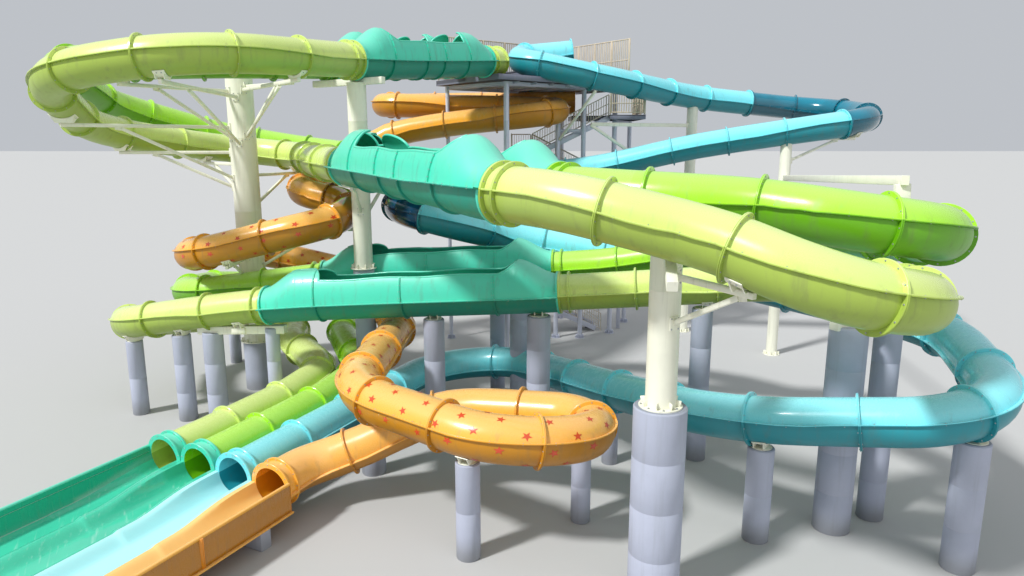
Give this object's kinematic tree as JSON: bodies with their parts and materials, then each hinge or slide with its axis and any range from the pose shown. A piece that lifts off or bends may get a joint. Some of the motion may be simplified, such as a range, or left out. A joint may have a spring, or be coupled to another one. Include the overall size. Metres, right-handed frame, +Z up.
{
  "type": "water slide tower",
  "caption": "Tower of winding tube water slides with open wave sections, columns, piers, a start tower with stair, and side by side run-out lanes.",
  "frame": {"origin": "middle of the footprint box on the lowest ground level", "axes": "+Z up, +Y away from the side with the run-out lanes, +X to the right as seen from that side"},
  "size_m": [35.3838, 34.4956, 15.5503],
  "materials": {
    "pale_green": "pale yellow-green glass-fibre shells with a gel-coat gloss",
    "teal": "teal glass-fibre trough and hoods, glossy inside",
    "lime": "lime green glass-fibre shells with a gel-coat gloss",
    "cyan": "light cyan glass-fibre shells with a gel-coat gloss",
    "deep_teal": "deep teal see-through resin shells",
    "navy": "navy see-through resin shells",
    "orange": "orange glass-fibre shells with a gel-coat gloss",
    "amber": "amber see-through resin shells",
    "lane_cyan": "light cyan run-out lane",
    "lane_orange": "orange run-out lane",
    "steel": "cream painted steel",
    "concrete": "painted concrete, pale blue-grey",
    "tower_steel": "grey painted steel",
    "deck": "dark grey deck plate",
    "rail": "pale painted timber slats"
  },
  "bodies": {
    "root": {"a_start": "pale_green", "a_wave_top": "teal", "a_upper_loop": "pale_green", "a_wave_mid": "teal", "a_right_turn": "pale_green", "a_wave_low": "teal", "a_exit": "pale_green", "b_start": "lime", "b_wave_top": "teal", "b_upper_loop": "lime", "b_wave_mid": "teal", "b_right_turn": "lime", "b_wave_low": "teal", "b_exit": "lime", "c_start": "cyan", "c_right_turn": "deep_teal", "c_return": "cyan", "c_left_turn": "navy", "c_mid_leg": "cyan", "c_low_loop": "cyan", "d_upper_loop": "orange", "d_amber_turn": "amber", "d_star_loop": "orange", "d_front_loop": "orange", "d_exit": "orange", "lane_a": "teal", "lane_b": "teal", "lane_c": "lane_cyan", "lane_d": "lane_orange", "column_left": "steel", "column_mid": "steel", "column_right": "steel", "post_far": "steel", "post_return": "steel", "portal_left": "concrete", "portal_right": "concrete", "lane_plinth": "concrete", "exit_cradle": "concrete", "tower_frame": "tower_steel", "deck_upper": "deck", "deck_lower": "deck", "rail_upper": "rail", "stair": "tower_steel", "rail_lower": "rail", "pier_central": "concrete", "pier_left_end": "concrete", "pier_left_mid": "concrete", "pier_left_far": "concrete", "pier_low_a": "concrete", "pier_low_b": "concrete", "pier_mid_leg": "concrete", "pier_far_leg": "concrete", "pier_orange_left": "concrete", "pier_orange_front": "concrete", "pier_orange_right": "concrete", "pier_cyan_back": "concrete", "pier_return": "concrete", "pier_cyan_front": "concrete", "pier_cyan_end": "concrete"}
  },
  "joints": []
}
